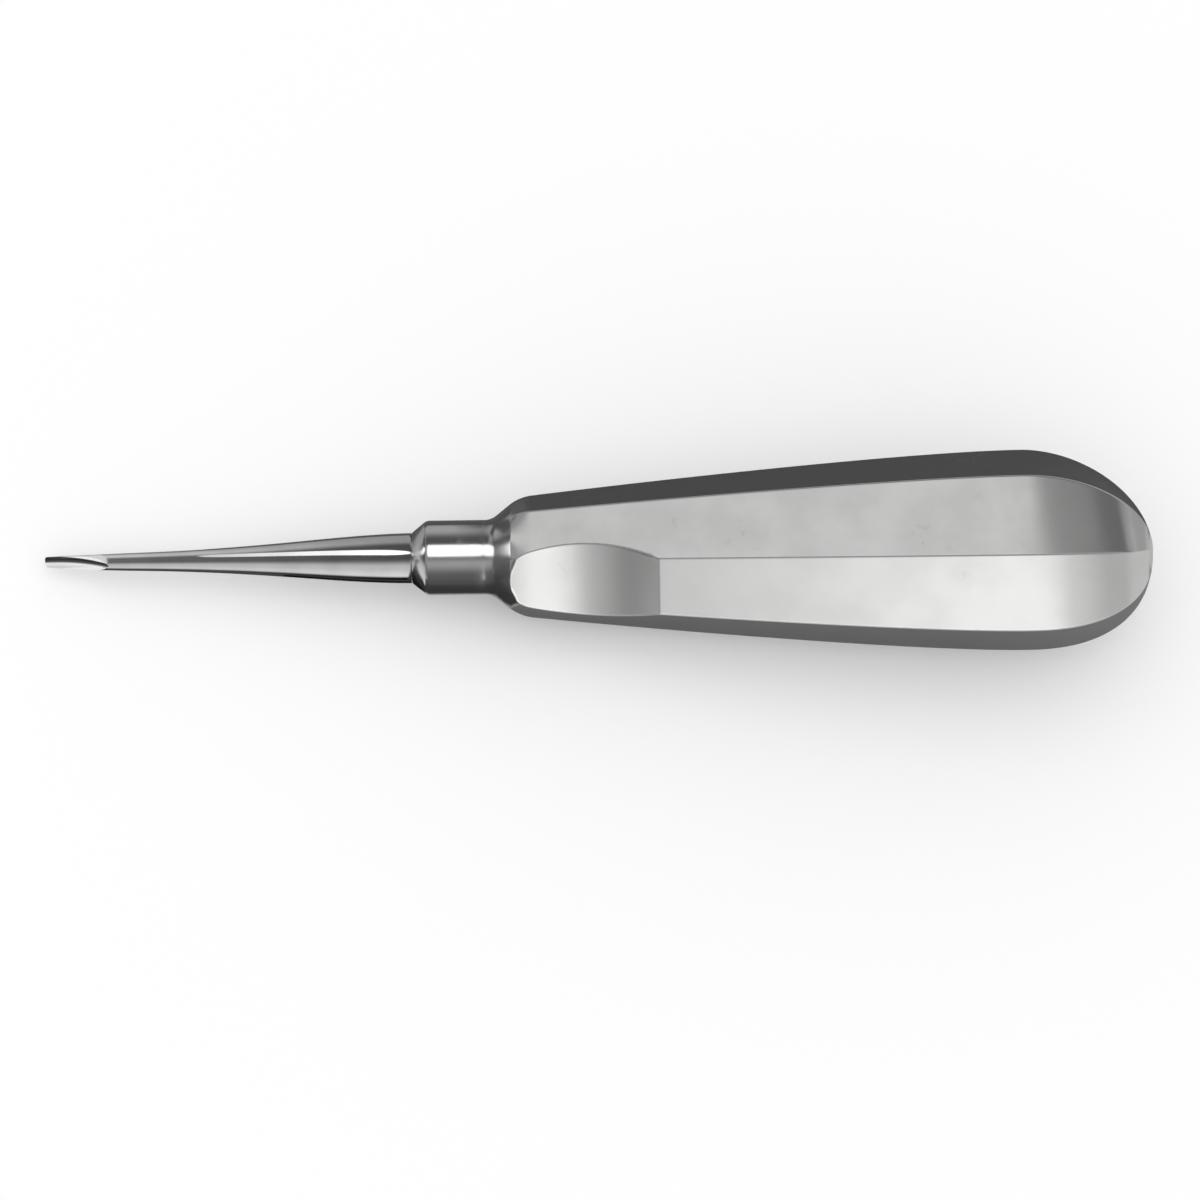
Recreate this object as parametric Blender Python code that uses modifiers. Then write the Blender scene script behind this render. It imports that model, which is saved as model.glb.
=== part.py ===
# Straight dental elevator with a hollow faceted handle, modelled in metres with +Z up.
# Both pieces are built along one local axis: the collar's mouth is at its origin and
# the blade's tip points along +Z. An empty then lays them down on one wide facet.
# Angles around the axis are counted from the ridge that lies along local +X.

import math

import bmesh
import bpy
from mathutils import Matrix, Vector

MM = 0.001

# Blade and shank, stations counted from the collar's mouth towards the tip
SHANK_LENGTH = 46.7 * MM
SHANK_ROOT_RADIUS = 3.17 * MM
ROOT_PULL = 10.0 * MM
ROOT_SLOPE = 0.01
BLADE_LENGTH = 10.5 * MM
BLADE_ROOT_RADIUS = 1.12 * MM
BLADE_PULL = 18.0 * MM
BLADE_SLOPE = 0.02
TIP_RADIUS = 0.75 * MM
TIP_CORNER = 0.45 * MM

# Flute of the blade, ground with a round-edged wheel, and the lip ground around its end
FLUTE_RADIUS = 1.10 * MM
FLUTE_FLOOR = 0.45 * MM
FLUTE_STRAIGHT = 1.4 * MM
FLUTE_LIFT_RADIUS = 15.0 * MM
FLUTE_LIFT_ANGLE = math.radians(35)
LIP_WHEEL_RADIUS = 14.0 * MM
LIP_STATION = 2.6 * MM
LIP_DEPTH = 0.06 * MM
EDGE_THICKNESS = 0.12 * MM
BEVEL_ANGLE = math.radians(12)
BEVEL_RING_RADIUS = 3.0 * MM
BEVEL_RING_DEPTH = 2.5 * MM

# Tang inside the collar
TANG_RADIUS = 2.6 * MM
TANG_LENGTH = 17.0 * MM
TANG_CHAMFER = 0.6 * MM
TANG_CLEARANCE = 0.1 * MM
SEAT_GAP = 0.1 * MM

# Collar and flare, stations counted from the mouth towards the palm end
COLLAR_RADIUS = 4.71 * MM
COLLAR_LENGTH = 10.0 * MM
MOUTH_CHAMFER = 1.5 * MM
MOUTH_CHAMFER_LENGTH = 1.8 * MM
MOUTH_ROUND = 1.2 * MM
COVE_RADIUS = 2.4 * MM
FLARE_ANGLE = math.radians(38.5)
SHOULDER_RADIUS = 7.59 * MM
SHOULDER_ROUND = 5.5 * MM

# Faceted grip and palm end
GRIP_RADIUS = 12.71 * MM
GRIP_STATION = 77.2 * MM
GRIP_PULL = 14.0 * MM
BODY_SLOPE = 0.115
BODY_PULL = 14.0 * MM
PALM_LENGTH = 16.35 * MM
PALM_FULLNESS = 2.12
PALM_BIAS = 0.31
WALL = 1.5 * MM
PLUG_LENGTH = 16.0 * MM

# Eight facets: pairs of wide ones front and back, pairs of narrow ones at the sides
WIDE_FACET = math.radians(50)
NARROW_FACET = math.radians(90) - WIDE_FACET
RIDGE_SETBACK = 0.30 * MM
RIDGE_SHARE = 0.2

# Thumb rest, a hollow ground across one wide facet
THUMB_ANGLE = -WIDE_FACET / 2
THUMB_WHEEL_RADIUS = 29.0 * MM
THUMB_FLOOR = 5.95 * MM
THUMB_STATION = 19.2 * MM

# The facet that lies on the table and the station above which the part balances
REST_ANGLE = math.pi + WIDE_FACET / 2
BALANCE_STATION = 45.7 * MM

# Fineness of the mesh
TURN_STEPS = 40
ARC_STEPS = 4
SHOULDER_STEPS = 8
SHANK_STEPS = 14
BODY_STEPS = 14
PALM_STEPS = 11
FACET_STEPS = 3
WHEEL_STEPS = 240
LIP_WHEEL_STEPS = 120
TUBE_STEPS = 8
LIFT_STEPS = 14
MERGE_DISTANCE = 0.000002
CUT_MARGIN = 1.0 * MM
SMOOTH_LIMIT = math.radians(28)


def remove_old_objects():
    for old in list(bpy.data.objects):
        bpy.data.objects.remove(old, do_unlink=True)


def make_collection(name):
    collection = bpy.data.collections.new(name)
    bpy.context.scene.collection.children.link(collection)
    return collection


def make_metal(name, colour, roughness):
    material = bpy.data.materials.new(name)
    material.use_nodes = True
    shader = material.node_tree.nodes["Principled BSDF"]
    shader.inputs["Base Color"].default_value = (*colour, 1.0)
    shader.inputs["Metallic"].default_value = 1.0
    shader.inputs["Roughness"].default_value = roughness
    return material


def place(item, collection, carrier):
    for old in list(item.users_collection):
        old.objects.unlink(item)
    collection.objects.link(item)
    item.parent = carrier
    return item


def hide_cutter(item):
    item.hide_render = True
    item.display_type = "WIRE"


def cut(piece, cutter):
    boolean = piece.modifiers.new("cut_" + cutter.name, "BOOLEAN")
    boolean.operation = "DIFFERENCE"
    boolean.solver = "EXACT"
    boolean.object = cutter


def shade_round(mesh):
    mesh.shade_smooth()
    mesh.set_sharp_from_angle(angle=SMOOTH_LIMIT)


def bezier(start, pull_start, pull_end, end, t):
    rest = 1 - t
    bent = start * rest**3 + pull_start * (3 * rest**2 * t)
    return bent + pull_end * (3 * rest * t**2) + end * t**3


def rounded_corner(before, corner, after, radius, steps):
    # Points of the arc that is tangent to both lines that meet at the corner
    back = (before - corner).normalized()
    on = (after - corner).normalized()
    half = back.angle(on) / 2
    middle = corner + (back + on).normalized() * (radius / math.sin(half))
    first = corner + back * (radius / math.tan(half)) - middle
    last = corner + on * (radius / math.tan(half)) - middle
    turn = first.angle_signed(last)
    points = []
    for step in range(steps + 1):
        points.append(middle + Matrix.Rotation(-turn * step / steps, 2) @ first)
    return points


def turned(name, profile, closed):
    # A profile of radius and height at +X, turned around the local Z axis
    mesh = bpy.data.meshes.new(name)
    verts = [(point.x, 0.0, point.y) for point in profile]
    edges = [(index, index + 1) for index in range(len(profile) - 1)]
    if closed:
        edges.append((len(profile) - 1, 0))
    mesh.from_pydata(verts, edges, [])
    item = bpy.data.objects.new(name, mesh)
    screw = item.modifiers.new("turn", "SCREW")
    screw.axis = "Z"
    screw.angle = math.tau
    screw.steps = TURN_STEPS
    screw.render_steps = TURN_STEPS
    screw.use_merge_vertices = True
    screw.merge_threshold = MERGE_DISTANCE
    screw.use_smooth_shade = True
    return item


def working_end_profile():
    # Radius and height from the tip's centre down to the tang's end
    tip = Vector((0.0, SHANK_LENGTH))
    blade_root = Vector((BLADE_ROOT_RADIUS, SHANK_LENGTH - BLADE_LENGTH))
    tip_corner = Vector((TIP_RADIUS, SHANK_LENGTH))
    root = Vector((SHANK_ROOT_RADIUS, SEAT_GAP))
    points = [tip] + rounded_corner(tip, tip_corner, blade_root, TIP_CORNER, ARC_STEPS)
    blade_pull = blade_root + Vector((BLADE_SLOPE, -1.0)) * BLADE_PULL
    root_pull = root + Vector((-ROOT_SLOPE, 1.0)) * ROOT_PULL
    for step in range(SHANK_STEPS + 1):
        points.append(bezier(blade_root, blade_pull, root_pull, root, step / SHANK_STEPS))
    points.append(Vector((TANG_RADIUS, SEAT_GAP)))
    points.append(Vector((TANG_RADIUS, TANG_CHAMFER - TANG_LENGTH)))
    points.append(Vector((TANG_RADIUS - TANG_CHAMFER, -TANG_LENGTH)))
    points.append(Vector((0.0, -TANG_LENGTH)))
    return points


def flute_cutter(collection, carrier):
    # A round bar that runs in from the tip and lifts out of the blade on an arc
    height = FLUTE_RADIUS - FLUTE_FLOOR
    lift_start = SHANK_LENGTH - FLUTE_STRAIGHT
    route = [Vector((height, SHANK_LENGTH + CUT_MARGIN))]
    for step in range(LIFT_STEPS + 1):
        angle = FLUTE_LIFT_ANGLE * step / LIFT_STEPS
        rise = FLUTE_LIFT_RADIUS * (1 - math.cos(angle))
        run = FLUTE_LIFT_RADIUS * math.sin(angle)
        route.append(Vector((height + rise, lift_start - run)))
    way_out = Vector((math.sin(FLUTE_LIFT_ANGLE), -math.cos(FLUTE_LIFT_ANGLE)))
    route.append(route[-1] + way_out * (2 * FLUTE_RADIUS))

    curve = bpy.data.curves.new("flute_path", "CURVE")
    curve.dimensions = "3D"
    curve.bevel_depth = FLUTE_RADIUS
    curve.bevel_resolution = TUBE_STEPS
    curve.use_fill_caps = True
    spline = curve.splines.new("POLY")
    spline.points.add(len(route) - 1)
    for point, spot in zip(spline.points, route):
        point.co = (spot.x, 0.0, spot.y, 1.0)
    path = bpy.data.objects.new("flute_path", curve)
    collection.objects.link(path)
    bpy.context.view_layer.update()
    evaluated = path.evaluated_get(bpy.context.evaluated_depsgraph_get())
    mesh = bpy.data.meshes.new_from_object(evaluated)
    shell = bmesh.new()
    shell.from_mesh(mesh)
    bmesh.ops.remove_doubles(shell, verts=shell.verts, dist=MERGE_DISTANCE)
    bmesh.ops.recalc_face_normals(shell, faces=shell.faces)
    shell.to_mesh(mesh)
    shell.free()
    cutter = bpy.data.objects.new("flute_cutter", mesh)
    bpy.data.objects.remove(path, do_unlink=True)
    place(cutter, collection, carrier)
    cutter.rotation_euler = (0.0, 0.0, THUMB_ANGLE)
    hide_cutter(cutter)
    return cutter


def wheel_cutter(name, radius, height, station, width, steps, collection, carrier):
    # A wheel whose rim cuts down to a height above the axis, on the thumb rest's side
    bpy.ops.mesh.primitive_cylinder_add(vertices=steps, radius=radius, depth=width)
    cutter = bpy.context.active_object
    cutter.name = name
    place(cutter, collection, carrier)
    away = Vector((math.cos(THUMB_ANGLE), math.sin(THUMB_ANGLE), 0.0))
    cutter.location = away * (height + radius) + Vector((0.0, 0.0, station))
    cutter.rotation_euler = (math.pi / 2, 0.0, THUMB_ANGLE)
    hide_cutter(cutter)
    return cutter


def bevel_cutter(collection, carrier):
    # A ring with a tapered hole, centred on the flute, that thins the back of the edge
    top = SHANK_LENGTH + CUT_MARGIN
    bottom = SHANK_LENGTH - BEVEL_RING_DEPTH
    edge_radius = FLUTE_RADIUS + EDGE_THICKNESS
    slope = math.tan(BEVEL_ANGLE)
    profile = [
        Vector((BEVEL_RING_RADIUS, top)),
        Vector((BEVEL_RING_RADIUS, bottom)),
        Vector((edge_radius + BEVEL_RING_DEPTH * slope, bottom)),
        Vector((edge_radius - CUT_MARGIN * slope, top)),
    ]
    cutter = turned("bevel_cutter", profile, closed=True)
    place(cutter, collection, carrier)
    height = FLUTE_RADIUS - FLUTE_FLOOR
    cutter.location = (height * math.cos(THUMB_ANGLE), height * math.sin(THUMB_ANGLE), 0.0)
    hide_cutter(cutter)
    return cutter


def make_working_end(collection, cutters, carrier):
    piece = turned("working_end", working_end_profile(), closed=False)
    place(piece, collection, carrier)
    lip_station = SHANK_LENGTH - LIP_STATION
    lip_width = 4 * SHANK_ROOT_RADIUS
    lip = wheel_cutter("lip_cutter", LIP_WHEEL_RADIUS, -LIP_DEPTH, lip_station,
                       lip_width, LIP_WHEEL_STEPS, cutters, carrier)
    cut(piece, lip)
    cut(piece, flute_cutter(cutters, carrier))
    cut(piece, bevel_cutter(cutters, carrier))
    piece.data.materials.append(make_metal("polished_steel", (0.62, 0.62, 0.62), 0.12))
    return piece


def body_point(share, inset):
    # Station and ridge radius along the grip, from the shoulder to the widest place
    shoulder = Vector((shoulder_station(), SHOULDER_RADIUS))
    widest = Vector((GRIP_STATION, GRIP_RADIUS))
    pull_start = shoulder + Vector((1.0, BODY_SLOPE)) * BODY_PULL
    pull_end = widest - Vector((GRIP_PULL, 0.0))
    return bezier(shoulder, pull_start, pull_end, widest, share) - Vector((0.0, inset))


def body_share(station):
    # Share of the way along the grip at which a station lies, found by halving
    low, high = 0.0, 1.0
    while high - low > 1e-6:
        middle = (low + high) / 2
        if body_point(middle, 0.0).x < station:
            low = middle
        else:
            high = middle
    return high


def shoulder_station():
    return COLLAR_LENGTH + (SHOULDER_RADIUS - COLLAR_RADIUS) / math.tan(FLARE_ANGLE)


def collar_points():
    # Station and radius from the mouth to the end of the shoulder's rounding
    mouth = Vector((0.0, COLLAR_RADIUS - MOUTH_CHAMFER))
    collar_start = Vector((MOUTH_CHAMFER_LENGTH, COLLAR_RADIUS))
    collar_end = Vector((COLLAR_LENGTH, COLLAR_RADIUS))
    shoulder = Vector((shoulder_station(), SHOULDER_RADIUS))
    onward = shoulder + Vector((1.0, BODY_SLOPE)) * BODY_PULL
    points = [mouth]
    points += rounded_corner(mouth, collar_start, collar_end, MOUTH_ROUND, ARC_STEPS)
    points += rounded_corner(collar_start, collar_end, shoulder, COVE_RADIUS, ARC_STEPS)
    points += rounded_corner(collar_end, shoulder, onward, SHOULDER_ROUND, SHOULDER_STEPS)
    return points


def grip_points(first_station, inset):
    start = body_share(first_station)
    points = []
    for step in range(BODY_STEPS + 1):
        points.append(body_point(start + (1 - start) * step / BODY_STEPS, inset))
    return points


def ridge_angles():
    angles = []
    for quarter in range(4):
        angle = quarter * math.pi / 2
        wide_first = quarter % 2 == 0
        angles += [angle, angle + (WIDE_FACET if wide_first else NARROW_FACET)]
    return angles


def palm_radius(share, angle):
    # Radius of the palm end as a share of the widest, flatter on the thumb rest's side
    fullness = PALM_FULLNESS - PALM_BIAS * math.sin(angle)
    return (1 - share**fullness) ** (1 / fullness)


def section(radii, squareness):
    # One ring: an octagon with rounded ridges that can melt into a circle
    ridges = []
    for angle, radius in zip(ridge_angles(), radii):
        ridges.append(Vector((math.cos(angle), math.sin(angle))) * radius)
    ring = []
    for index, ridge in enumerate(ridges):
        previous = ridges[index - 1]
        following = ridges[(index + 1) % len(ridges)]
        edge = (following - ridge).length
        setback = min(RIDGE_SETBACK, RIDGE_SHARE * edge)
        start = ridge + (previous - ridge).normalized() * setback
        end = ridge + (following - ridge).normalized() * setback
        next_start = following + (ridge - following).normalized() * setback
        ring += [start, (start + ridge * 2 + end) / 4, end]
        for step in range(1, FACET_STEPS + 1):
            ring.append(end.lerp(next_start, step / (FACET_STEPS + 1)))
    mean_radius = sum(radii) / len(radii)
    return [(point.normalized() * mean_radius).lerp(point, squareness) for point in ring]


def loft(name, rings, pole_station):
    # Rings of station and points, skinned, with a flat first end and a closed pole
    shell = bmesh.new()
    rows = []
    for station, points in rings:
        rows.append([shell.verts.new((point.x, point.y, -station)) for point in points])
    count = len(rows[0])
    for lower, upper in zip(rows, rows[1:]):
        for index in range(count):
            following = (index + 1) % count
            shell.faces.new((lower[index], lower[following], upper[following], upper[index]))
    shell.faces.new(rows[0])
    pole = shell.verts.new((0.0, 0.0, -pole_station))
    for index in range(count):
        shell.faces.new((rows[-1][index], rows[-1][(index + 1) % count], pole))
    bmesh.ops.recalc_face_normals(shell, faces=shell.faces)
    mesh = bpy.data.meshes.new(name)
    shell.to_mesh(mesh)
    shell.free()
    return bpy.data.objects.new(name, mesh)


def squareness_at(point):
    # How square the section must be for the middle of a wide facet to run straight on
    # from the grip over the rounded shoulder; below zero the flare is still round there
    line = SHOULDER_RADIUS + BODY_SLOPE * (point.x - shoulder_station())
    apothem = math.cos(WIDE_FACET / 2)
    return (1 - apothem * line / point.y) / (1 - apothem)


def shoulder_rings():
    # Rings from the mouth to the grip, with one exactly where the facets come out
    rings = []
    before = None
    for point in collar_points():
        square = squareness_at(point)
        if before and before[1] < 0 < square:
            meeting = before[0].lerp(point, before[1] / (before[1] - square))
            rings.append((meeting.x, section([meeting.y] * len(ridge_angles()), 0.0)))
        ring = section([point.y] * len(ridge_angles()), min(max(square, 0.0), 1.0))
        rings.append((point.x, ring))
        before = (point, square)
    return rings


def palm_rings(inset):
    reach = PALM_LENGTH - inset
    rings = []
    for step in range(1, PALM_STEPS):
        share = math.sin(math.pi / 2 * step / PALM_STEPS)
        radii = []
        for angle in ridge_angles():
            radii.append((GRIP_RADIUS - inset) * palm_radius(share, angle))
        rings.append((GRIP_STATION + reach * share, section(radii, 1.0)))
    return rings


def handle_skin():
    rings = shoulder_rings()
    for point in grip_points(rings[-1][0], 0.0)[1:]:
        rings.append((point.x, section([point.y] * len(ridge_angles()), 1.0)))
    rings += palm_rings(0.0)
    return loft("handle", rings, GRIP_STATION + PALM_LENGTH)


def handle_core():
    # The hollow inside: the skin moved in by the wall, closed by the plug in front
    inset = WALL / math.cos(WIDE_FACET / 2)
    rings = []
    for point in grip_points(PLUG_LENGTH, inset):
        rings.append((point.x, section([point.y] * len(ridge_angles()), 1.0)))
    rings += palm_rings(inset)
    return loft("core_cutter", rings, GRIP_STATION + PALM_LENGTH - inset)


def make_handle(collection, cutters, carrier):
    piece = place(handle_skin(), collection, carrier)
    thumb_width = 3 * GRIP_RADIUS
    thumb = wheel_cutter("thumb_cutter", THUMB_WHEEL_RADIUS, THUMB_FLOOR, -THUMB_STATION,
                         thumb_width, WHEEL_STEPS, cutters, carrier)
    thumb_wall = wheel_cutter("thumb_wall_cutter", THUMB_WHEEL_RADIUS + WALL,
                              THUMB_FLOOR - WALL, -THUMB_STATION, thumb_width,
                              WHEEL_STEPS, cutters, carrier)
    core = place(handle_core(), cutters, carrier)
    hide_cutter(core)
    cut(core, thumb_wall)
    bore_length = PLUG_LENGTH + 2 * CUT_MARGIN
    bpy.ops.mesh.primitive_cylinder_add(vertices=TURN_STEPS, depth=bore_length,
                                        radius=TANG_RADIUS + TANG_CLEARANCE)
    bore = place(bpy.context.active_object, cutters, carrier)
    bore.name = "bore_cutter"
    bore.location = (0.0, 0.0, CUT_MARGIN - bore_length / 2)
    hide_cutter(bore)
    cut(piece, thumb)
    cut(piece, core)
    cut(piece, bore)
    piece.data.materials.append(make_metal("brushed_steel", (0.50, 0.50, 0.50), 0.32))
    shade_round(piece.data)
    return piece


def rest_slope():
    # Slope of the facet's line under the balance station, between two rings of the grip
    points = grip_points(collar_points()[-1].x, 0.0)
    for before, after in zip(points, points[1:]):
        if after.x > BALANCE_STATION:
            break
    apothem_gain = (after.y - before.y) * math.cos(WIDE_FACET / 2)
    return math.atan2(apothem_gain, after.x - before.x)


def lay_down(carrier, pieces):
    # Turn the rest facet down, tip towards -X, then centre the part on the origin
    roll = Matrix.Rotation(-REST_ANGLE, 3, "Z")
    over = Matrix.Rotation(math.pi / 2 + rest_slope(), 3, "Y")
    about = Matrix.Rotation(math.pi, 3, "Z")
    carrier.rotation_mode = "QUATERNION"
    carrier.rotation_quaternion = (about @ over @ roll).to_quaternion()
    bpy.context.view_layer.update()
    depsgraph = bpy.context.evaluated_depsgraph_get()
    spots = []
    for piece in pieces:
        shape = piece.evaluated_get(depsgraph)
        spots += [shape.matrix_world @ vertex.co for vertex in shape.data.vertices]
    low = Vector([min(spot[axis] for spot in spots) for axis in range(3)])
    high = Vector([max(spot[axis] for spot in spots) for axis in range(3)])
    carrier.location = (-(low.x + high.x) / 2, -(low.y + high.y) / 2, -low.z)
    bpy.context.view_layer.update()


def build():
    remove_old_objects()
    parts = make_collection("dental_elevator")
    cutters = make_collection("cutters")
    carrier = bpy.data.objects.new("lie_on_facet", None)
    parts.objects.link(carrier)
    handle = make_handle(parts, cutters, carrier)
    working_end = make_working_end(parts, cutters, carrier)
    lay_down(carrier, [handle, working_end])


build()
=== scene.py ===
import math

import bmesh
import bpy
from mathutils import Matrix, Vector


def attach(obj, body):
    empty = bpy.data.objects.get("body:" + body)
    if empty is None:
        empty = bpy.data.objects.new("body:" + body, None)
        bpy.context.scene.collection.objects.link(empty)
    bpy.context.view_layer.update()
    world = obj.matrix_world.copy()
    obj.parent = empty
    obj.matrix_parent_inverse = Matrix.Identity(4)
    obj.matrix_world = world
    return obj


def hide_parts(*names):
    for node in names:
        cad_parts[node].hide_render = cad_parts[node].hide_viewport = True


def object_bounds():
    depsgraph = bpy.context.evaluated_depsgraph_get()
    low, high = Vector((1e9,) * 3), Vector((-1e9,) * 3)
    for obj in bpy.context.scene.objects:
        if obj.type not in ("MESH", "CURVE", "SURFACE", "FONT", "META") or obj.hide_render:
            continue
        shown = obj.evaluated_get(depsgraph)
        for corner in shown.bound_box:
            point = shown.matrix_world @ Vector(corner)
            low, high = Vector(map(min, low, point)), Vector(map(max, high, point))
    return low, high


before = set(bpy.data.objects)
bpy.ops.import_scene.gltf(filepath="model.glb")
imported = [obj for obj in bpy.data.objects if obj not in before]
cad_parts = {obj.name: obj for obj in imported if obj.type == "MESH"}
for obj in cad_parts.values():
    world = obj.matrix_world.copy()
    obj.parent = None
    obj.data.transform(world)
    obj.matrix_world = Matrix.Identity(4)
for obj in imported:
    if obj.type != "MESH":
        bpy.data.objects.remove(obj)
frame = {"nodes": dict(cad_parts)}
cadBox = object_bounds()
print("frame loaded:", ", ".join(frame["nodes"]))

mm = 0.001
degree = math.pi / 180

# Both pieces are shaped upright: the collar's mouth at the origin, the blade's tip up.
# Stations of the handle are counted down from the mouth, angles from the front ridge.
lie = {
    "restFacet": 205 * degree,    # the wide facet that lies on the table
    "slope": 4.564 * degree,      # its rise along the grip, which dips the tip
}

# Node tools shared by every tree


def addNode(tree, kind, **settings):
    node = tree.nodes.new(kind)
    for name, value in settings.items():
        setattr(node, name, value)
    return node


def feed(tree, socket, value):
    # A socket is linked, anything else is written into the input
    if isinstance(value, bpy.types.NodeSocket):
        tree.links.new(value, socket)
    else:
        socket.default_value = value


def calc(tree, operation, *values, clamp=False):
    node = addNode(tree, "ShaderNodeMath", operation=operation, use_clamp=clamp)
    for socket, value in zip(node.inputs, values):
        feed(tree, socket, value)
    return node.outputs[0]


def remap(tree, value, lowIn, highIn, lowOut=0.0, highOut=1.0, smooth=True):
    kind = "SMOOTHSTEP" if smooth else "LINEAR"
    node = addNode(tree, "ShaderNodeMapRange", interpolation_type=kind)
    for socket, number in zip(node.inputs, (value, lowIn, highIn, lowOut, highOut)):
        feed(tree, socket, number)
    return node.outputs[0]


def newGroup(name, kind, inputs, outputs):
    # Inputs and outputs are (name, socket type, default) and (name, socket type)
    tree = bpy.data.node_groups.new(name, kind)
    for label, socketType, default in inputs:
        socket = tree.interface.new_socket(label, in_out="INPUT", socket_type=socketType)
        if default is not None:
            socket.default_value = default
    for label, socketType in outputs:
        tree.interface.new_socket(label, in_out="OUTPUT", socket_type=socketType)
    entry = addNode(tree, "NodeGroupInput")
    leave = addNode(tree, "NodeGroupOutput")
    return tree, entry.outputs, leave.inputs


def useGroup(tree, kind, group, **values):
    # Input names are written in camelCase here and with spaces on the group
    node = addNode(tree, kind, node_tree=group)
    for name, value in values.items():
        label = "".join(" " + c if c.isupper() else c for c in name).title()
        feed(tree, node.inputs[label], value)
    return node.outputs


# Mesh tools


def bezierPoint(start, pullStart, pullEnd, end, t):
    rest = 1 - t
    bent = start * rest**3 + pullStart * (3 * rest**2 * t)
    return bent + pullEnd * (3 * rest * t**2) + end * t**3


def roundedCorner(before, corner, after, radius, steps):
    # The arc that touches both lines through the corner
    back = (before - corner).normalized()
    onward = (after - corner).normalized()
    half = back.angle(onward) / 2
    middle = corner + (back + onward).normalized() * (radius / math.sin(half))
    first = corner + back * (radius / math.tan(half)) - middle
    last = corner + onward * (radius / math.tan(half)) - middle
    turn = first.angle_signed(last)
    arc = [Matrix.Rotation(-turn * i / steps, 2) @ first for i in range(steps + 1)]
    return [middle + spoke for spoke in arc]


def evenly(start, end, steps):
    return [start + (end - start) * i / steps for i in range(steps)]


def link(name, data):
    item = bpy.data.objects.new(name, data)
    bpy.context.scene.collection.objects.link(item)
    return item


def plainMesh(source, name):
    # The evaluated shape as a plain mesh of its own; the source goes
    bpy.context.view_layer.update()
    evaluated = source.evaluated_get(bpy.context.evaluated_depsgraph_get())
    mesh = bpy.data.meshes.new_from_object(evaluated)
    mesh.transform(source.matrix_world)
    bpy.data.objects.remove(source, do_unlink=True)
    return link(name, mesh)


# The handle: a turned blank that a node tree grinds to facets and a thumb rest

handleSizes = {
    "collarRadius": 4.71 * mm,
    "collarLength": 10.0 * mm,
    "mouthChamfer": 1.5 * mm,
    "mouthChamferLength": 1.8 * mm,
    "mouthRound": 1.2 * mm,
    "coveRadius": 2.4 * mm,
    "flareAngle": 38.5 * degree,
    "shoulderRadius": 7.59 * mm,
    "shoulderRound": 5.5 * mm,
    "shoulderRunOut": 1.5 * mm,
    "bodySlope": 0.115,
    "bodyPull": 14.0 * mm,
    "gripRadius": 12.71 * mm,
    "gripStation": 77.2 * mm,
    "gripPull": 14.0 * mm,
    "palmLength": 16.35 * mm,
    "palmFullness": 2.12,
    "palmBias": 0.31,
    "boreRadius": 2.7 * mm,
    "boreDepth": 16.0 * mm,
    "wideFacet": 50 * degree,
    "ridgeBlend": 0.22 * mm,
    "thumbAngle": -25 * degree,
    "thumbWheelRadius": 29.0 * mm,
    "thumbFloor": 5.95 * mm,
    "thumbStation": 19.2 * mm,
    "thumbBlend": 0.09 * mm,
}
flareRise = handleSizes["shoulderRadius"] - handleSizes["collarRadius"]
flareRun = flareRise / math.tan(handleSizes["flareAngle"])
handleSizes["shoulderStation"] = handleSizes["collarLength"] + flareRun
handleSizes["shoulderEnd"] = handleSizes["shoulderStation"] + handleSizes["shoulderRunOut"]

# Columns of the blank, in degrees: close together at the ridges, even across the thumb
# rest, wide apart elsewhere
columnPlan = {
    "besideRidge": [0, 0.3, 0.6, 0.9, 1.3, 1.8, 2.6, 4.0],
    "fineFrom": -78,
    "fineTo": 28,
    "fineStep": 1.0,
    "fineClear": 3.2,
    "coarseColumns": 36,
    "coarseClear": 5,
    "leastGap": 0.25,
}

# Rows of the blank, stretch by stretch from the mouth to the pole
rowPlan = {
    "collar": 8,
    "smallArc": 12,
    "shoulderArc": 16,
    "thumbRest": 96,
    "thumbEdge": 36,
    "grip": 44,
    "palm": 44,
}


def ridgeAngles():
    wide = handleSizes["wideFacet"]
    angles = []
    for quarter in range(4):
        start = quarter * math.pi / 2
        angles += [start, start + (wide if quarter % 2 == 0 else math.pi / 2 - wide)]
    return angles


def blankAngles():
    plan = columnPlan
    turnEnd = plan["fineFrom"] + 360
    ridges = [math.degrees(angle) for angle in ridgeAngles()]
    ridges = [angle - 360 if angle > turnEnd else angle for angle in ridges]

    def fromRidge(angle):
        return min(abs(angle - ridge) for ridge in ridges)

    angles = []
    for ridge in ridges:
        angles += [ridge + side * offset for offset in plan["besideRidge"] for side in (-1, 1)]
    angles += evenly(plan["fineTo"], turnEnd, plan["coarseColumns"])
    reach = max(plan["besideRidge"]) + 0.01
    angles = [a for a in angles if fromRidge(a) <= reach or fromRidge(a) > plan["coarseClear"]]
    fineColumns = round((plan["fineTo"] - plan["fineFrom"]) / plan["fineStep"])
    fine = evenly(plan["fineFrom"], plan["fineTo"], fineColumns)
    angles += [angle for angle in fine if fromRidge(angle) > plan["fineClear"]]
    angles = sorted(set(round(angle, 3) for angle in angles))
    kept = [angles[0]]
    for angle in angles[1:]:
        if angle - kept[-1] > plan["leastGap"]:
            kept.append(angle)
    return [angle * degree for angle in kept]


def squareness(spot):
    # The share of the cut that keeps the middle of a wide facet straight over the shoulder
    h = handleSizes
    line = h["shoulderRadius"] + h["bodySlope"] * (spot.x - h["shoulderStation"])
    apothem = math.cos(h["wideFacet"] / 2)
    return (1 - apothem * line / spot.y) / (1 - apothem)


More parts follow.
